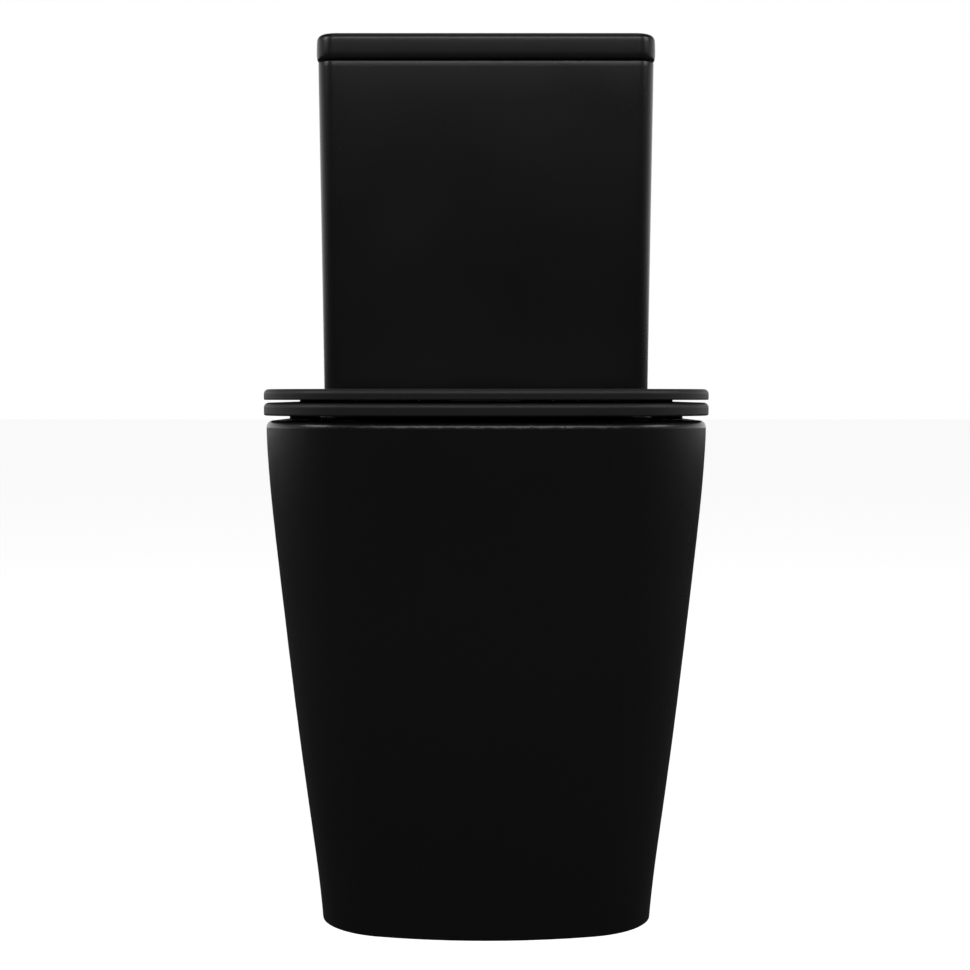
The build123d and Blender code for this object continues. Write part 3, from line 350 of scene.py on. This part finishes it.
cover = block("cistern_cover", (cover_low[0], cover_low[1], tank_top), cover_high)
pick(cover, "EDGE", upright)
bpy.ops.mesh.bevel(offset=cover_corner, offset_type="OFFSET", segments=12, affect="EDGES")
crown_steps = [tank_top + (cover_high[2] - cover_round - tank_top) * step / 8 for step in range(1, 8)]
for height in crown_steps:
    slice_at(cover, height)
for height in [tank_top] + crown_steps + [cover_high[2]]:
    if height < cover_widest:
        inward = cover_tuck * ((cover_widest - height) / (cover_widest - tank_top)) ** 2
    else:
        inward = cover_crown * ((height - cover_widest) / (cover_high[2] - cover_widest)) ** 2
    pick(cover, "VERT", lambda vert, middle: abs(middle.z - height) < 1e-4)
    bpy.ops.transform.resize(
        value=(1 - 2 * inward / cover_width, 1 - inward / cover_depth, 1),
        center_override=(0, cover_high[1], height),
    )
pick(cover, "EDGE", lambda edge, middle: all(v.co.z > cover_high[2] - 1e-4 for v in edge.verts))
bpy.ops.mesh.bevel(offset=cover_round, offset_type="OFFSET", segments=10, affect="EDGES")
pick(cover, "FACE", lambda face, middle: middle.z < tank_top + 1e-4)
bpy.ops.mesh.inset(thickness=cover_lip_inset)
bpy.ops.mesh.extrude_region_move(TRANSFORM_OT_translate={"value": (0, 0, -cover_lip_depth)})
bpy.ops.mesh.inset(thickness=cover_lip_wall)
bpy.ops.mesh.extrude_region_move(
    TRANSFORM_OT_translate={"value": (0, 0, cover_high[2] - cover_slab - tank_top + cover_lip_depth)}
)


def outer_foot(edge, middle):
    """The cover's lowest outer edge, and not the lip's."""
    level_with_foot = all(abs(vert.co.z - tank_top) < 1e-4 for vert in edge.verts)
    outside = any(
        abs(vert.co.x) > cover_high[0] - foot_band_sides
        or vert.co.y < cover_low[1] + foot_band_ends
        or vert.co.y > cover_high[1] - foot_band_ends
        for vert in edge.verts
    )
    faces_up = any(face.normal.z > 0.5 for face in edge.link_faces)
    side_above = any(face.calc_center_median().z > tank_top + 1e-3 for face in edge.link_faces)
    return level_with_foot and outside and folded(edge) and not faces_up and side_above


pick(cover, "EDGE", outer_foot)
bpy.ops.mesh.bevel(offset=cover_foot_round, offset_type="OFFSET", segments=3, affect="EDGES")
bpy.ops.mesh.select_all(action="SELECT")
bpy.ops.mesh.normals_make_consistent(inside=False)
bpy.ops.object.mode_set(mode="OBJECT")
bpy.ops.mesh.primitive_cylinder_add(
    vertices=96, radius=button_hole, depth=0.1,
    location=((housing_low[0] + housing_high[0]) / 2, (housing_low[1] + housing_high[1]) / 2, cover_high[2]),
)
hole_cutter = bpy.context.object
bpy.ops.object.select_all(action="DESELECT")
bpy.context.view_layer.objects.active = cover
cover.select_set(True)
apply_modifier(cover, "BOOLEAN", object=hole_cutter, operation="DIFFERENCE", solver="EXACT")
bpy.data.objects.remove(hole_cutter)
close_piece(cover, matte_glaze, "cistern_cover", ["tank_lid"])

# ---------------------------------------------------------------- seat and lid
# Thermoset plastic, pressed thin and matte black, on soft-close hinges.
seat_plastic = surface("seat_plastic", (0.0095, 0.0095, 0.01), 0.52, 0.03, 1600, 0.00004)
for name in ("seat_ring", "seat_lid", "side_caps"):
    finish_node(name, seat_plastic)

# ---------------------------------------------------------------- rubber
# Bumpers, seals and washers: dull black rubber, with a coarser grain than the plastics.
# All of them keep their machine-made shapes.
soft_rubber = surface("soft_rubber", (0.02, 0.02, 0.02), 0.75, 0.08, 1200, 0.00008)
for name in (
    "seat_bumpers", "lid_bumpers", "tank_gasket", "tank_spacers", "tank_bolt_seals", "tank_bolt_rubbers",
    "flush_valve_seal", "flush_seal", "fill_valve_washer", "hinge_pads", "hinge_washers",
):
    finish_node(name, soft_rubber)

# ---------------------------------------------------------------- metal
# Bolts, pins and springs are bright steel with a fine drawn sheen.
# The hinge posts, the button and its bezel are metal under a matte black coat.
bright_steel = surface("bright_steel", (0.62, 0.62, 0.63), 0.3, 0.06, 2500, 0.00002, metal=1.0)
for name in (
    "tank_bolts", "tank_bolt_washers", "hinge_pins", "rocker_pins", "float_arm_pin", "side_screws",
    "full_button_spring", "half_button_spring",
):
    finish_node(name, bright_steel)
black_finish = surface("black_coated_metal", (0.015, 0.015, 0.016), 0.36, 0.04, 2200, 0.00003)
for name in ("hinge_posts", "button_bezel", "full_flush_button", "half_flush_button"):
    finish_node(name, black_finish)

# ---------------------------------------------------------------- plastic fittings
# The valves and their moving parts are moulded, in white, grey and blue as such valves are.
# Nuts, brackets, dampers and the float are near black.
white_plastic = surface("white_plastic", (0.78, 0.78, 0.76), 0.42, 0.05, 1800, 0.00003)
for name in (
    "flush_valve_body", "flush_valve_nut", "fill_valve_body", "fill_valve_nut", "half_flush_float",
    "valve_head",
):
    finish_node(name, white_plastic)
grey_plastic = surface("grey_plastic", (0.42, 0.43, 0.45), 0.42, 0.05, 1800, 0.00003)
for name in ("overflow_tube", "full_push_rod", "half_push_rod", "float_link"):
    finish_node(name, grey_plastic)
blue_plastic = surface("blue_plastic", (0.06, 0.2, 0.5), 0.4, 0.05, 1800, 0.00003)
for name in ("full_rocker", "half_rocker", "fill_valve_cap", "float_arm"):
    finish_node(name, blue_plastic)
dark_plastic = surface("dark_plastic", (0.05, 0.05, 0.055), 0.5, 0.05, 1500, 0.00005)
for name in (
    "float_cup", "button_housing", "button_nut", "seat_dampers", "lid_dampers", "tank_wing_nuts",
    "hinge_wing_nuts", "hinge_studs", "floor_brackets",
):
    finish_node(name, dark_plastic)
